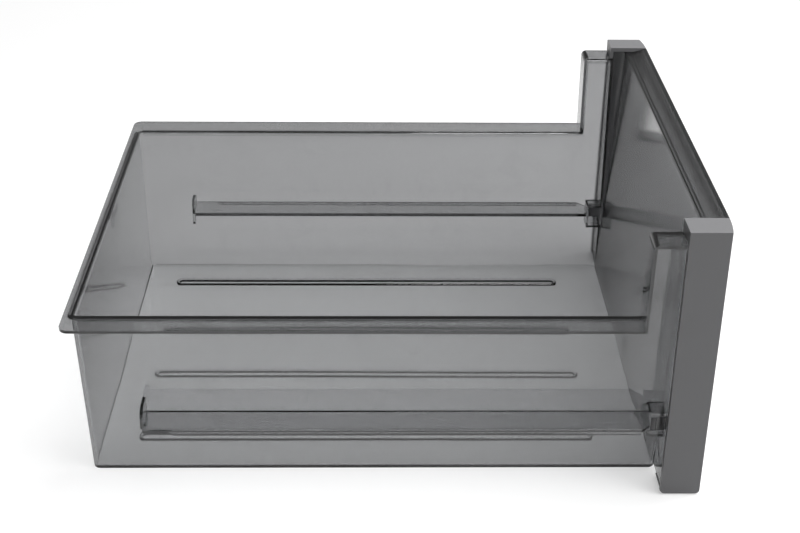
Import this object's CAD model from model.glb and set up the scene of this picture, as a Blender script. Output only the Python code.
"""Looks of the freezer drawer: clear smoky tub and front panel, satin silver end caps.

Metres, in the part's own frame: the front faces -Y and +Z is up.
"""

import logging
import math
from collections.abc import Iterator
from contextlib import contextmanager
from dataclasses import dataclass, field
from enum import Enum

import bmesh
import bpy
from mathutils import Matrix, Vector

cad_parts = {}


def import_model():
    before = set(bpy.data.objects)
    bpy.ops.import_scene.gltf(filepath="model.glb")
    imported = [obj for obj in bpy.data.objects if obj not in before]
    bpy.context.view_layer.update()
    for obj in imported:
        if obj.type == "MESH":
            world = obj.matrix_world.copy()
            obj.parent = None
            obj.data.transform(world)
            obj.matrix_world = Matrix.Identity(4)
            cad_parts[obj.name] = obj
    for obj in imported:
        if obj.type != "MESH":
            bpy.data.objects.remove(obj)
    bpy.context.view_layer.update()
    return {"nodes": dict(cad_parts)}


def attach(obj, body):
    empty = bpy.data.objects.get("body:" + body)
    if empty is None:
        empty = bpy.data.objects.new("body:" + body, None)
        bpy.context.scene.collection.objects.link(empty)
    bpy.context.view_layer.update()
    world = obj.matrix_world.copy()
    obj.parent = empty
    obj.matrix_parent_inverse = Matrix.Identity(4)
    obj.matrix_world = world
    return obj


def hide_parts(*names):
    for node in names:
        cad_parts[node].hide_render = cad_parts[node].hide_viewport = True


log = logging.getLogger("freezer_drawer")

Colour = tuple[float, float, float]
Socket = bpy.types.NodeSocket
Tree = bpy.types.NodeTree

IMAGE_WIDTH = 800
SENSOR_MM = 36.0

# The whole range of a mask.
WHOLE = (0.0, 1.0)

# A bend is a row of narrow strips that don't stand upright.
BEND = "bend"
STRIP_WIDTH = 0.0012
UPRIGHT = 0.7

# Turns from face to face: flat ones are joined, those from shallow to sharp make a bend, sharper
# ones are shaded as edges, and steep ones are rounded.
FLAT = math.radians(0.3)
SHALLOW = math.radians(2.5)
SHARP = math.radians(28.0)
STEEP = math.radians(32.0)

# Vertices closer than this are merged.
MERGE = 2e-6

ROUND_STEPS = 2
ROUND_PROFILE = 0.5


class Slot(Enum):
    """Material slots of the part's record."""

    CLEAR_SMOKE = "clear_smoke"
    PANEL_SMOKE = "panel_smoke"
    SILVER_GREY = "silver_grey"


class Side(Enum):
    """The drawer's two sides, by the sign of X."""

    LEFT = -1
    RIGHT = 1


def opaque(colour: Colour) -> tuple[float, float, float, float]:
    """Gives a colour as an opaque shader colour."""
    return *colour, 1.0


def grey(value: float) -> tuple[float, float, float, float]:
    """Gives an even grey as an opaque shader colour."""
    return opaque((value, value, value))


def node(tree: Tree, kind: str, **values: object) -> bpy.types.Node:
    """Adds a node to a tree and sets its plain properties.

    Args:
        tree: Tree that gets the node.
        kind: Blender's identifier of the node type.
        **values: Properties of the node, by name.

    Returns:
        The new node.
    """
    made = tree.nodes.new(kind)
    for name, value in values.items():
        setattr(made, name, value)
    return made


def fill(tree: Tree, target: Socket, value: object) -> None:
    """Fills one input, with a link or with a plain value.

    Args:
        tree: Tree that has the input's node.
        target: Input to fill.
        value: Socket to link or value to set.
    """
    if isinstance(value, Socket):
        tree.links.new(value, target)
    else:
        target.default_value = value


def feed(tree: Tree, made: bpy.types.Node, **values: object) -> None:
    """Fills a node's inputs by their names.

    Args:
        tree: Tree that has the node.
        made: Node to fill.
        **values: Sockets to link or values to set, by input name with underscores for spaces.
    """
    for name, value in values.items():
        fill(tree, made.inputs[name.replace("_", " ")], value)


def feed_in_order(tree: Tree, made: bpy.types.Node, *values: object) -> None:
    """Fills a node's first inputs in their order.

    Args:
        tree: Tree that has the node.
        made: Node to fill.
        *values: Sockets to link or values to set.
    """
    for target, value in zip(made.inputs, values):
        fill(tree, target, value)


def calculate(tree: Tree, operation: str, *values: Socket | float) -> Socket:
    """Adds a math node.

    Args:
        tree: Tree that gets the node.
        operation: Blender's name of the operation.
        *values: Sockets or plain numbers for its inputs, in order.

    Returns:
        The socket with the result.
    """
    made = node(tree, "ShaderNodeMath", operation=operation)
    feed_in_order(tree, made, *values)
    return made.outputs["Value"]


def remap(tree: Tree, value: Socket, span: tuple[float, float],
          result: tuple[float, float] = WHOLE) -> Socket:
    """Maps a value from one range to another, and holds it inside that range.

    Args:
        tree: Tree that gets the node.
        value: Socket with the value.
        span: Values that the range starts and ends with.
        result: Results that belong to them.

    Returns:
        The socket with the result.
    """
    made = node(tree, "ShaderNodeMapRange")
    feed(tree, made, Value=value, From_Min=span[0], From_Max=span[1], To_Min=result[0],
         To_Max=result[1])
    return made.outputs["Result"]


def mix(tree: Tree, share: Socket, first: object, second: object, blend: str = "MIX") -> Socket:
    """Mixes two colours.

    Args:
        tree: Tree that gets the node.
        share: Socket with the share of the second colour.
        first: First colour, as a socket or a plain colour.
        second: Second colour, as a socket or a plain colour.
        blend: Blender's name of the way to mix them.

    Returns:
        The socket with the mixed colour.
    """
    made = node(tree, "ShaderNodeMix", data_type="RGBA", blend_type=blend)
    feed(tree, made, Factor=share, A=first, B=second)
    return made.outputs["Result"]


def new_material(name: str) -> tuple[bpy.types.Material, Tree]:
    """Makes an empty node material.

    Args:
        name: Name of the material.

    Returns:
        The material and its empty node tree.
    """
    material = bpy.data.materials.new(name)
    material.use_nodes = True
    material.node_tree.nodes.clear()
    return material, material.node_tree


@dataclass(frozen=True)
class SurfaceNoise:
    """Shader group shared by every plastic: soft waviness, fine grain and a scuff mask."""

    name: str = "moulded_surface"
    wave_scale: float = 18.0
    wave_detail: float = 2.0
    grain_scale: float = 900.0
    grain_detail: float = 3.0
    scuff_scale: float = 60.0
    scuff_detail: float = 8.0
    scuff_roughness: float = 0.72
    scuff_distortion: float = 1.4
    scuff_span: tuple[float, float] = (0.52, 0.78)

    def build(self) -> Tree:
        """Builds the group, or finds it where another material has built it.

        Returns:
            The group.
        """
        found = bpy.data.node_groups.get(self.name)
        if found:
            return found
        tree = bpy.data.node_groups.new(self.name, "ShaderNodeTree")
        scales = {"Wave": self.wave_scale, "Grain": self.grain_scale, "Scuff": self.scuff_scale}
        for label, scale in scales.items():
            socket = tree.interface.new_socket(f"{label} Scale", in_out="INPUT",
                                               socket_type="NodeSocketFloat")
            socket.default_value = scale
        for label in scales:
            tree.interface.new_socket(label, in_out="OUTPUT", socket_type="NodeSocketFloat")
        inside = node(tree, "NodeGroupInput")
        outside = node(tree, "NodeGroupOutput")
        place = node(tree, "ShaderNodeTexCoord")
        noises = {label: node(tree, "ShaderNodeTexNoise") for label in scales}
        feed(tree, noises["Wave"], Detail=self.wave_detail)
        feed(tree, noises["Grain"], Detail=self.grain_detail)
        feed(tree, noises["Scuff"], Detail=self.scuff_detail, Roughness=self.scuff_roughness,
             Distortion=self.scuff_distortion)
        for label, noise in noises.items():
            feed(tree, noise, Vector=place.outputs["Object"],
                 Scale=inside.outputs[f"{label} Scale"])
        feed(tree, outside, Wave=noises["Wave"].outputs["Fac"],
             Grain=noises["Grain"].outputs["Fac"],
             Scuff=remap(tree, noises["Scuff"].outputs["Fac"], self.scuff_span))
        return tree


@dataclass(frozen=True)
class ClearSmoke:
    """Clear smoky grey plastic, darkened by the depth of material that light passes.

    The first wall that a ray meets takes the full tint, and the walls behind it, which are
    already seen through it, take the clear one. Level bends trap light where they are seen at a
    flat angle. The front frame is moulded with a satin finish, and its front edge traps no light.
    """

    name: str
    tint: Colour = (0.345, 0.348, 0.353)
    scuff_tint: float = 0.93
    clear_tint: Colour = (0.94, 0.942, 0.945)
    first_wall: float = 1.5
    absorb: Colour = (0.20, 0.205, 0.215)
    density: float = 95.0
    bend_facing: float = 0.72
    bend_grazing: float = 0.03
    bend_span: tuple[float, float] = (0.2, 0.5)
    index: float = 1.55
    gloss: float = 0.03
    scuffed: float = 0.10
    satin: float = 0.11
    satin_from: float = -0.188
    front_edge: float = -0.2240
    fade: float = 0.0015
    wave_scale: float = 14.0
    wave_height: float = 0.00010
    wave_strength: float = 0.35
    scuff_scale: float = 45.0
    shadow_tint: float = 0.95

    def build(self) -> bpy.types.Material:
        """Builds the material.

        Returns:
            The material.
        """
        material, tree = new_material(self.name)
        surface = node(tree, "ShaderNodeGroup", node_tree=SurfaceNoise().build())
        feed(tree, surface, Wave_Scale=self.wave_scale, Scuff_Scale=self.scuff_scale)
        paths = node(tree, "ShaderNodeLightPath")
        place = node(tree, "ShaderNodeTexCoord")
        place_parts = node(tree, "ShaderNodeSeparateXYZ")
        feed(tree, place_parts, Vector=place.outputs["Object"])
        along = place_parts.outputs["Y"]
        bump = node(tree, "ShaderNodeBump")
        feed(tree, bump, Strength=self.wave_strength, Distance=self.wave_height,
             Height=surface.outputs["Wave"])
        skin = node(tree, "ShaderNodeBsdfPrincipled")
        feed(tree, skin, Transmission_Weight=1.0, IOR=self.index, Normal=bump.outputs["Normal"],
             Base_Color=self.colour(tree, surface.outputs["Scuff"], paths, along),
             Roughness=self.roughness(tree, surface.outputs["Scuff"], along))
        through = node(tree, "ShaderNodeBsdfTransparent")
        feed(tree, through, Color=grey(self.shadow_tint))
        choose = node(tree, "ShaderNodeMixShader")
        feed_in_order(tree, choose, paths.outputs["Is Shadow Ray"], skin.outputs["BSDF"],
                      through.outputs["BSDF"])
        depth = node(tree, "ShaderNodeVolumeAbsorption")
        feed(tree, depth, Color=opaque(self.absorb), Density=self.density)
        out = node(tree, "ShaderNodeOutputMaterial")
        feed(tree, out, Surface=choose.outputs["Shader"], Volume=depth.outputs["Volume"])
        return material

    def colour(self, tree: Tree, scuff: Socket, paths: bpy.types.Node, along: Socket) -> Socket:
        """Adds the nodes that give the tint by wall, bend and scuff.

        Args:
            tree: Tree that gets the nodes.
            scuff: Socket with the scuff mask.
            paths: Light Path node.
            along: Socket with the place from front to rear.

        Returns:
            The socket with the colour.
        """
        scuffed = tuple(value * self.scuff_tint for value in self.tint)
        tint = mix(tree, scuff, opaque(self.tint), opaque(scuffed))
        behind = calculate(tree, "GREATER_THAN", paths.outputs["Transmission Depth"],
                           self.first_wall)
        layered = mix(tree, behind, tint, opaque(self.clear_tint))
        weight = node(tree, "ShaderNodeLayerWeight")
        grazing = remap(tree, weight.outputs["Facing"], self.bend_span)
        trapped = mix(tree, grazing, grey(self.bend_facing), grey(self.bend_grazing))
        bend = node(tree, "ShaderNodeAttribute", attribute_name=BEND)
        behind_edge = remap(tree, along, (self.front_edge, self.front_edge + self.fade))
        dark_bend = calculate(tree, "MULTIPLY", bend.outputs["Fac"], behind_edge)
        return mix(tree, dark_bend, layered, trapped, "MULTIPLY")

    def roughness(self, tree: Tree, scuff: Socket, along: Socket) -> Socket:
        """Adds the nodes that give the roughness, higher where scuffed and on the front frame.

        Args:
            tree: Tree that gets the nodes.
            scuff: Socket with the scuff mask.
            along: Socket with the place from front to rear.

        Returns:
            The socket with the roughness.
        """
        rough = remap(tree, scuff, WHOLE, (self.gloss, self.scuffed))
        on_frame = remap(tree, along, (self.satin_from, self.satin_from - self.fade))
        return calculate(tree, "MULTIPLY_ADD", on_frame, self.satin, rough)


@dataclass(frozen=True)
class SatinSilver:
    """Silver-grey plastic with fine metallic flakes and a satin surface."""

    name: str
    colour: Colour = (0.195, 0.195, 0.20)
    flake: Colour = (0.27, 0.27, 0.28)
    flake_span: tuple[float, float] = (0.35, 0.75)
    metal: float = 0.12
    gloss: float = 0.42
    scuffed: float = 0.55
    grain_scale: float = 2600.0
    grain_height: float = 0.00005
    grain_strength: float = 0.25
    scuff_scale: float = 30.0

    def build(self) -> bpy.types.Material:
        """Builds the material.

        Returns:
            The material.
        """
        material, tree = new_material(self.name)
        surface = node(tree, "ShaderNodeGroup", node_tree=SurfaceNoise().build())
        feed(tree, surface, Grain_Scale=self.grain_scale, Scuff_Scale=self.scuff_scale)
        grain = surface.outputs["Grain"]
        flakes = remap(tree, grain, self.flake_span)
        bump = node(tree, "ShaderNodeBump")
        feed(tree, bump, Strength=self.grain_strength, Distance=self.grain_height, Height=grain)
        skin = node(tree, "ShaderNodeBsdfPrincipled")
        feed(tree, skin, Metallic=self.metal, Normal=bump.outputs["Normal"],
             Base_Color=mix(tree, flakes, opaque(self.colour), opaque(self.flake)),
             Roughness=remap(tree, surface.outputs["Scuff"], WHOLE, (self.gloss, self.scuffed)))
        out = node(tree, "ShaderNodeOutputMaterial")
        feed(tree, out, Surface=skin.outputs["BSDF"])
        return material


def placed(name: str, data: bpy.types.ID) -> bpy.types.Object:
    """Makes an object for a mesh, lamp or camera, and links it to the scene.

    Args:
        name: Name of the object.
        data: Its mesh, lamp or camera.

    Returns:
        The new object, at the origin.
    """
    made = bpy.data.objects.new(name, data)
    bpy.context.scene.collection.objects.link(made)
    return made


@contextmanager
def editing(mesh: bpy.types.Mesh) -> Iterator[bmesh.types.BMesh]:
    """Opens a mesh for changes, and writes them back at the end.

    Args:
        mesh: Mesh to change.

    Yields:
        The open mesh.
    """
    work = bmesh.new()
    work.from_mesh(mesh)
    yield work
    work.to_mesh(mesh)
    work.free()


def merge(work: bmesh.types.BMesh) -> None:
    """Merges a mesh's doubled vertices and joins its flat neighbouring faces.

    Args:
        work: Mesh to merge.
    """
    bmesh.ops.remove_doubles(work, verts=work.verts, dist=MERGE)
    bmesh.ops.dissolve_limit(work, angle_limit=FLAT, verts=work.verts, edges=work.edges)


def on_a_bend(face: bmesh.types.BMFace) -> bool:
    """Tells whether a face is one of the narrow strips that make up a level rounded bend.

    Args:
        face: Face of a merged mesh.

    Returns:
        True for a strip that isn't upright and turns smoothly into its neighbours on two sides.
    """
    longest = max(face.edges, key=lambda edge: edge.calc_length())
    length = longest.calc_length()
    rise = abs(longest.verts[0].co.z - longest.verts[1].co.z)
    smooth_sides = sum(SHALLOW < edge.calc_face_angle(0.0) < SHARP for edge in face.edges)
    narrow = face.calc_area() / length < STRIP_WIDTH
    return narrow and smooth_sides > 1 and rise < UPRIGHT * length


def shade(work: bmesh.types.BMesh) -> None:
    """Shades a mesh smoothly, with sharp edges where its faces turn steeply.

    Args:
        work: Mesh to shade.
    """
    for face in work.faces:
        face.smooth = True
    for edge in work.edges:
        edge.smooth = edge.calc_face_angle(0.0) < SHARP


def soften_edges(piece: bpy.types.Object, width: float) -> None:
    """Adds the small rounding that a moulding has along its sharp edges.

    Args:
        piece: Piece to round.
        width: Width of the rounding.
    """
    bevel = piece.modifiers.new("round edges", "BEVEL")
    bevel.width = width
    bevel.segments = ROUND_STEPS
    bevel.limit_method = "ANGLE"
    bevel.angle_limit = STEEP
    bevel.harden_normals = True
    bevel.use_clamp_overlap = True


def finished_copy(source: bpy.types.Object, name: str, round_edges: float) -> bpy.types.Object:
    """Copies a solid's mesh, joins its triangles, and rounds its sharp edges.

    Args:
        source: Solid's object.
        name: Name of the new piece.
        round_edges: Width of the small rounding along sharp edges.

    Returns:
        The new object, at the origin.
    """
    mesh = source.data.copy()
    mesh.name = name
    with editing(mesh) as work:
        merge(work)
        bend = work.faces.layers.float.new(BEND)
        for face in work.faces:
            face[bend] = float(on_a_bend(face))
        shade(work)
    piece = placed(name, mesh)
    soften_edges(piece, round_edges)
    return piece


def dress(piece: bpy.types.Object, node_name: str,
          finish: bpy.types.Material) -> bpy.types.Object:
    """Gives a finished piece its material, body, node and slot.

    Args:
        piece: Finished piece, at the origin.
        node_name: Node of the part that the piece stands for.
        finish: Material of the piece.

    Returns:
        The same piece.
    """
    piece.data.materials.clear()
    piece.data.materials.append(finish)
    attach(piece, "root")
    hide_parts(node_name)
    log.info("made %s with %d faces", piece.name, len(piece.data.polygons))
    return piece


def prism(name: str, outline: list[tuple[float, float]], low: float,
          high: float) -> bpy.types.Object:
    """Makes a closed prism from an outline in the XY plane.

    Args:
        name: Name of the object.
        outline: Corners of the outline, in order.
        low: Level of the bottom.
        high: Level of the top.

    Returns:
        The new object, at the origin.
    """
    count = len(outline)
    verts = [(x, y, z) for z in (low, high) for x, y in outline]
    faces = [tuple(range(count)), tuple(range(count, 2 * count))]
    faces += [(i, (i + 1) % count, count + (i + 1) % count, count + i) for i in range(count)]
    mesh = bpy.data.meshes.new(name)
    mesh.from_pydata(verts, [], faces)
    with editing(mesh) as work:
        bmesh.ops.recalc_face_normals(work, faces=work.faces)
    return placed(name, mesh)


def plain_mesh(piece: bpy.types.Object) -> None:
    """Turns what a piece's modifiers make into its plain mesh, and removes them.

    Args:
        piece: Piece with modifiers.
    """
    bpy.context.view_layer.update()
    shown = piece.evaluated_get(bpy.context.evaluated_depsgraph_get())
    mesh = bpy.data.meshes.new_from_object(shown)
    piece.modifiers.clear()
    piece.data = mesh


def combine(piece: bpy.types.Object, other: bpy.types.Object, operation: str) -> None:
    """Joins another closed body to a piece, or cuts it away, and deletes the other.

    Args:
        piece: Piece that is changed.
        other: Body that is joined or cut away.
        operation: UNION or DIFFERENCE.
    """
    modifier = piece.modifiers.new("combine", "BOOLEAN")
    modifier.operation = operation
    modifier.solver = "EXACT"
    modifier.object = other
    plain_mesh(piece)
    bpy.data.objects.remove(other)


@dataclass(frozen=True)
class Row:
    """Geometry Nodes tree that repeats a body at even steps up the Z axis."""

    name: str = "row_up_z"

    def build(self) -> tuple[Tree, dict[str, str]]:
        """Builds the tree.

        Returns:
            The tree, and the identifiers of its inputs by name.
        """
        tree = bpy.data.node_groups.new(self.name, "GeometryNodeTree")
        face = tree.interface
        face.new_socket("Geometry", in_out="INPUT", socket_type="NodeSocketGeometry")
        kinds = {"Count": "NodeSocketInt", "First": "NodeSocketFloat",
                 "Step": "NodeSocketFloat", "Finish": "NodeSocketMaterial"}
        sockets = {
            label: face.new_socket(label, in_out="INPUT", socket_type=kind).identifier
            for label, kind in kinds.items()
        }
        face.new_socket("Geometry", in_out="OUTPUT", socket_type="NodeSocketGeometry")
        inside = node(tree, "NodeGroupInput")
        first = node(tree, "ShaderNodeCombineXYZ")
        feed(tree, first, Z=inside.outputs["First"])
        step = node(tree, "ShaderNodeCombineXYZ")
        feed(tree, step, Z=inside.outputs["Step"])
        line = node(tree, "GeometryNodeMeshLine", mode="OFFSET")
        feed(tree, line, Count=inside.outputs["Count"], Start_Location=first.outputs["Vector"],
             Offset=step.outputs["Vector"])
        spread = node(tree, "GeometryNodeInstanceOnPoints")
        feed(tree, spread, Points=line.outputs["Mesh"], Instance=inside.outputs["Geometry"])
        real = node(tree, "GeometryNodeRealizeInstances")
        feed(tree, real, Geometry=spread.outputs["Instances"])
        paint = node(tree, "GeometryNodeSetMaterial")
        feed(tree, paint, Geometry=real.outputs["Geometry"], Material=inside.outputs["Finish"])
        outside = node(tree, "NodeGroupOutput")
        feed(tree, outside, Geometry=paint.outputs["Geometry"])
        return tree, sockets

    def repeat(self, piece: bpy.types.Object, count: int, first: float, step: float,
               finish: bpy.types.Material) -> None:
        """Repeats a body up the Z axis and keeps the row as the piece's plain mesh.

        Args:
            piece: Body to repeat.
            count: Number of copies.
            first: Height of the first copy.
            step: Height from one copy to the next.
            finish: Material of the copies.
        """
        tree, sockets = self.build()
        modifier = piece.modifiers.new(self.name, "NODES")
        modifier.node_group = tree
        modifier[sockets["Count"]] = count
        modifier[sockets["First"]] = first
        modifier[sockets["Step"]] = step
        modifier[sockets["Finish"]] = finish
        plain_mesh(piece)


@dataclass
class ClearMoulding:
    """Clear moulding of the drawer: the tub or the front panel, with small rounded edges."""

    node: str
    slot: Slot
    finish: ClearSmoke
    round_edges: float = 0.0003

    def make(self, solids: dict[str, bpy.types.Object]) -> bpy.types.Object:
        """Builds the piece, dresses it and sets it in place of its solid.

        Args:
            solids: Solids by node name.

        Returns:
            The finished piece.
        """
        piece = finished_copy(solids[self.node], f"{self.node}_moulding", self.round_edges)
        return dress(piece, self.node, self.finish.build())


@dataclass
class EndCap:
    """Channel-shaped end cap that covers one wing of the front frame."""

    side: Side
    half_drawer: float = 0.190
    height: float = 0.2115
    front: float = -0.2265
    width: float = 0.0223
    depth: float = 0.0305
    wall: float = 0.0022
    crown: float = 0.0022
    crown_steps: int = 8
    foot_radius: float = 0.003
    foot_steps: int = 5
    return_width: float = 0.0024
    ear_top: float = 0.2018
    flange_top: float = 0.2081
    channel_front: float = -0.2246
    hook_out: float = 0.1781
    hook_tip: float = 0.1726
    hook_rear: float = -0.2199
    hook_wall: float = 0.0018
    hook_height: float = 0.012
    hook_count: int = 3
    hook_first: float = 0.030
    hook_step: float = 0.075
    tongue_level: float = 0.0505
    tongue_height: float = 0.011
    tongue_out: float = 0.1740
    tongue_wall: float = 0.0018
    tongue_end: float = -0.1873
    bracket_rear: float = -0.2029
    barb_reach: float = 0.0018
    barb_length: float = 0.003
    edge_width: float = 0.0007

    @property
    def inner(self) -> float:
        """Distance of the cap's inner edge from the drawer's middle."""
        return self.half_drawer - self.width

    @property
    def rear(self) -> float:
        """Y of the cap's rear edge."""
        return self.front + self.depth

    def outline(self) -> list[tuple[float, float]]:
        """Gives the outline of the whole cap, with its front curved back at the side.

        Returns:
            Corners of the outline, in order.
        """
        radius = (self.width**2 + self.crown**2) / (2 * self.crown)
        turn = math.asin(self.width / radius)
        steps = [turn * index / self.crown_steps for index in range(self.crown_steps + 1)]
        curve = [
            (-self.inner - radius * math.sin(angle), self.front + radius * (1 - math.cos(angle)))
            for angle in steps
        ]
        return curve + [(-self.half_drawer, self.rear), (-self.inner, self.rear)]

    def block(self, name: str, outer: float, inner: float, front: float, rear: float,
              low: float, high: float) -> bpy.types.Object:
        """Makes a plain block for one wall of the cap.

        Args:
            name: Name of the block.
            outer: Distance of its outer face from the drawer's middle.
            inner: Distance of its inner face from the drawer's middle.
            front: Y of its front face.
            rear: Y of its rear face.
            low: Level of its underside.
            high: Level of its top.

        Returns:
            The block.
        """
        corners = [(-outer, front), (-outer, rear), (-inner, rear), (-inner, front)]
        return prism(name, corners, low, high)

    def shell(self, name: str) -> bpy.types.Object:
        """Builds the channel with its rounded foot, rear wall, return and lip.

        Args:
            name: Name of the piece.

        Returns:
            The channel of the left cap.
        """
        shell = prism(name, self.outline(), 0.0, self.height)
        with editing(shell.data) as work:
            foot = [
                edge for edge in work.edges
                if all(vert.co.z < self.wall for vert in edge.verts)
                and abs(edge.verts[0].co.x - edge.verts[1].co.x) > self.wall / 2
            ]
            bmesh.ops.bevel(work, geom=foot, offset=self.foot_radius, segments=self.foot_steps,
                            affect="EDGES", profile=ROUND_PROFILE)
            bmesh.ops.recalc_face_normals(work, faces=work.faces)
        inner_side = self.half_drawer - self.wall
        open_inner = self.inner - self.wall
        hollow = prism("hollow", [
            (-open_inner, self.channel_front),
            (-self.hook_out, self.channel_front),
            (-inner_side, self.channel_front + self.crown),
            (-inner_side, self.rear + self.wall),
            (-open_inner, self.rear + self.wall),
        ], self.wall, self.height - self.wall)
        combine(shell, hollow, "DIFFERENCE")
        top = self.height - self.wall / 2
        side = self.half_drawer - self.wall / 2
        walls = (
            ("rear_wall", side, self.inner, self.rear - self.wall, self.rear, self.ear_top, top),
            ("return", side, inner_side - self.return_width, self.rear - self.wall, self.rear,
             self.wall / 2, top),
            ("lip", self.inner + self.wall, self.inner, self.front + self.wall / 2, self.rear,
             self.flange_top, top),
        )
        for wall in walls:
            combine(shell, self.block(*wall), "UNION")
        return shell

    def hooks(self, finish: bpy.types.Material) -> bpy.types.Object:
        """Builds the row of hooks that hold the front panel's side strip.

        Args:
            finish: Material of the hooks.

        Returns:
            The row, as one body.
        """
        outer = self.hook_out
        start = self.front + self.wall / 2
        hook = prism("hooks", [
            (-outer, start),
            (-outer, self.hook_rear),
            (-self.hook_tip, self.hook_rear),
            (-self.hook_tip, self.hook_rear - self.hook_wall),
            (-outer + self.hook_wall, self.hook_rear - self.hook_wall),
            (-outer + self.hook_wall, start),
        ], -self.hook_height / 2, self.hook_height / 2)
        Row().repeat(hook, self.hook_count, self.hook_first, self.hook_step, finish)
        return hook

    def tongue(self) -> bpy.types.Object:
        """Builds the snap tongue on its bracket, with the barb for the tub's latch pocket.

        Returns:
            The tongue, as one body.
        """
        root = -self.half_drawer + self.wall / 2
        outer = -self.tongue_out
        inner = outer + self.tongue_wall
        front = self.bracket_rear - self.tongue_wall
        return prism("tongue", [
            (root, front),
            (inner, front),
            (inner, self.tongue_end),
            (outer, self.tongue_end),
            (outer - self.barb_reach, self.tongue_end - self.barb_length),
            (outer, self.tongue_end - self.barb_length),
            (outer, self.bracket_rear),
            (root, self.bracket_rear),
        ], self.tongue_level - self.tongue_height / 2, self.tongue_level + self.tongue_height / 2)

    def make(self, finish: bpy.types.Material) -> bpy.types.Object:
        """Builds the cap for its side, dresses it and sets it in place of its solid.

        Args:
            finish: Material of the cap.

        Returns:
            The finished piece.
        """
        name = f"end_cap_{self.side.name.lower()}"
        cap = self.shell(f"{name}_moulding")
        combine(cap, self.hooks(finish), "UNION")
        combine(cap, self.tongue(), "UNION")
        with editing(cap.data) as work:
            merge(work)
            for vert in work.verts:
                vert.co.x *= -self.side.value
            bmesh.ops.recalc_face_normals(work, faces=work.faces)
            shade(work)
        soften_edges(cap, self.edge_width)
        return dress(cap, name, finish)


@dataclass(frozen=True)
class Viewpoint:
    """Camera that sees the drawer as the photograph does."""

    place: tuple[float, float, float] = (-1.0352, 0.0143, 0.6383)
    yaw_deg: float = -1.344
    pitch_deg: float = 28.134
    roll_deg: float = 0.705
    focal_px: float = 1450.0
    clip: tuple[float, float] = (0.01, 50.0)

    def make(self) -> bpy.types.Object:
        """Makes the camera and sets it as the scene's.

        Returns:
            The camera.
        """
        yaw, pitch, roll = (
            math.radians(value) for value in (self.yaw_deg, self.pitch_deg, self.roll_deg)
        )
        ahead = Vector((
            math.cos(pitch) * math.cos(yaw),
            math.cos(pitch) * math.sin(yaw),
            -math.sin(pitch),
        ))
        right = Vector((math.sin(yaw), -math.cos(yaw), 0.0))
        up = right.cross(ahead)
        turned_right = math.cos(roll) * right + math.sin(roll) * up
        turned_up = -math.sin(roll) * right + math.cos(roll) * up
        data = bpy.data.cameras.new("camera")
        data.sensor_width = SENSOR_MM
        data.lens = self.focal_px * SENSOR_MM / IMAGE_WIDTH
        data.clip_start, data.clip_end = self.clip
        camera = placed("camera", data)
        turn = Matrix((turned_right, turned_up, -ahead)).transposed().to_4x4()
        camera.matrix_world = Matrix.Translation(self.place) @ turn
        bpy.context.scene.camera = camera
        log.info("camera with a %.1f mm lens", data.lens)
        return camera


def background_rays(tree: Tree) -> tuple[Socket, Socket]:
    """Adds the nodes that tell which rays show the background.

    Args:
        tree: Tree that gets the nodes.

    Returns:
        The socket that is 1 for such a ray, and the one that is 1 where a surface has turned it.
    """
    paths = node(tree, "ShaderNodeLightPath")
    turned = calculate(tree, "MAXIMUM", paths.outputs["Is Glossy Ray"],
                       paths.outputs["Is Transmission Ray"])
    return calculate(tree, "MAXIMUM", paths.outputs["Is Camera Ray"], turned), turned


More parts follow.
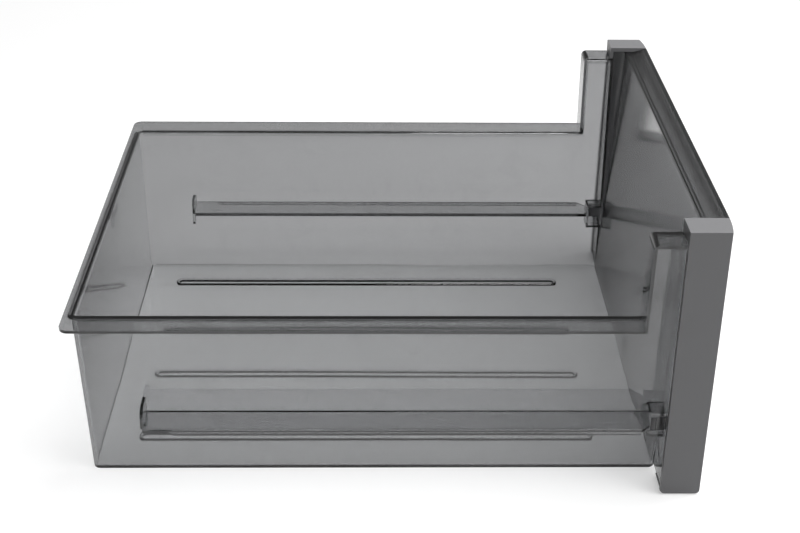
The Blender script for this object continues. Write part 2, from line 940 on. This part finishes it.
@dataclass(frozen=True)
class Studio:
    """Pale floor and backdrop, soft overhead light and an even room.

    Rays that show the background see a paler floor and room than the rays that only light the
    drawer. The floor's own glow grows with the distance, so that it stays white far from the lamp.
    """

    floor_size: float = 14.0
    floor_level: float = -0.001
    floor_seen: tuple[float, float] = (0.62, 0.04)
    floor_glow: tuple[float, float] = (0.45, 0.97)
    floor_span: tuple[float, float] = (0.7, 2.2)
    floor_bounce: float = 0.22
    room_seen: float = 0.98
    room_above: float = 0.22
    room_span_deg: tuple[float, float] = (2.0, 16.0)
    room_light: float = 0.06
    lamp_power: float = 136.0
    lamp_size: float = 3.0
    lamp_place: tuple[float, float, float] = (-0.1, -1.4, 2.4)
    lamp_aim: tuple[float, float, float] = (0.0, 0.0, 0.1)

    def make_floor(self) -> bpy.types.Object:
        """Makes the pale floor.

        Returns:
            The floor.
        """
        half = self.floor_size / 2
        mesh = bpy.data.meshes.new("floor")
        corners = [(-half, -half), (half, -half), (half, half), (-half, half)]
        mesh.from_pydata([(*corner, self.floor_level) for corner in corners], [], [(0, 1, 2, 3)])
        floor = placed("floor", mesh)
        material, tree = new_material("pale_floor")
        place = node(tree, "ShaderNodeTexCoord")
        length = node(tree, "ShaderNodeVectorMath", operation="LENGTH")
        feed_in_order(tree, length, place.outputs["Object"])
        distance = length.outputs["Value"]
        seen, _ = background_rays(tree)
        paint = node(tree, "ShaderNodeBsdfDiffuse")
        feed(tree, paint, Color=mix(tree, seen, grey(self.floor_bounce), remap(
            tree, distance, self.floor_span, self.floor_seen)))
        glow = node(tree, "ShaderNodeEmission")
        feed(tree, glow, Strength=calculate(tree, "MULTIPLY", seen, remap(
            tree, distance, self.floor_span, self.floor_glow)))
        both = node(tree, "ShaderNodeAddShader")
        feed_in_order(tree, both, paint.outputs["BSDF"], glow.outputs["Emission"])
        out = node(tree, "ShaderNodeOutputMaterial")
        feed(tree, out, Surface=both.outputs["Shader"])
        mesh.materials.append(material)
        return floor

    def make_room(self) -> None:
        """Makes the even room light and the pale backdrop, darker above for turned rays."""
        world = bpy.data.worlds.new("room")
        bpy.context.scene.world = world
        world.use_nodes = True
        tree = world.node_tree
        tree.nodes.clear()
        seen, turned = background_rays(tree)
        place = node(tree, "ShaderNodeTexCoord")
        parts = node(tree, "ShaderNodeSeparateXYZ")
        feed(tree, parts, Vector=place.outputs["Generated"])
        span = tuple(math.sin(math.radians(angle)) for angle in self.room_span_deg)
        above = calculate(tree, "MULTIPLY", turned, remap(tree, parts.outputs["Z"], span))
        wall = mix(tree, above, grey(self.room_seen), grey(self.room_above))
        glow = node(tree, "ShaderNodeBackground")
        feed(tree, glow, Color=mix(tree, seen, grey(self.room_light), wall))
        out = node(tree, "ShaderNodeOutputWorld")
        feed(tree, out, Surface=glow.outputs["Background"])

    def make_lamp(self) -> bpy.types.Object:
        """Makes the soft overhead lamp.

        Returns:
            The lamp.
        """
        data = bpy.data.lights.new("overhead", "AREA")
        data.shape = "SQUARE"
        data.size = self.lamp_size
        data.energy = self.lamp_power
        lamp = placed("overhead", data)
        lamp.location = self.lamp_place
        aim = Vector(self.lamp_aim) - Vector(self.lamp_place)
        lamp.rotation_euler = aim.to_track_quat("-Z", "Y").to_euler()
        return lamp

    def make(self) -> None:
        """Makes floor, room and lamp, and sets the plain view transform."""
        self.make_floor()
        self.make_room()
        self.make_lamp()
        bpy.context.scene.view_settings.view_transform = "Standard"
        log.info("studio ready")


@dataclass
class Drawer:
    """The whole drawer: its two clear mouldings and the end caps."""

    tub: ClearMoulding = field(default_factory=lambda: ClearMoulding(
        "tub", Slot.CLEAR_SMOKE, ClearSmoke("smoky_clear_tub")))
    front_panel: ClearMoulding = field(default_factory=lambda: ClearMoulding(
        "front_panel", Slot.PANEL_SMOKE, ClearSmoke("smoky_satin_panel")))
    end_caps: list[EndCap] = field(default_factory=lambda: [EndCap(side) for side in Side])

    def make(self, solids: dict[str, bpy.types.Object]) -> None:
        """Builds every piece.

        Args:
            solids: Solids by node name.
        """
        self.tub.make(solids)
        self.front_panel.make(solids)
        silver = SatinSilver("satin_silver").build()
        for cap in self.end_caps:
            cap.make(silver)


def main() -> None:
    """Loads the frame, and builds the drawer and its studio."""
    logging.basicConfig(level=logging.INFO, format="%(message)s")
    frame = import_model()
    Studio().make()
    Viewpoint().make()
    Drawer().make(frame["nodes"])
    bpy.context.view_layer.update()


if __name__ == "__main__":
    main()
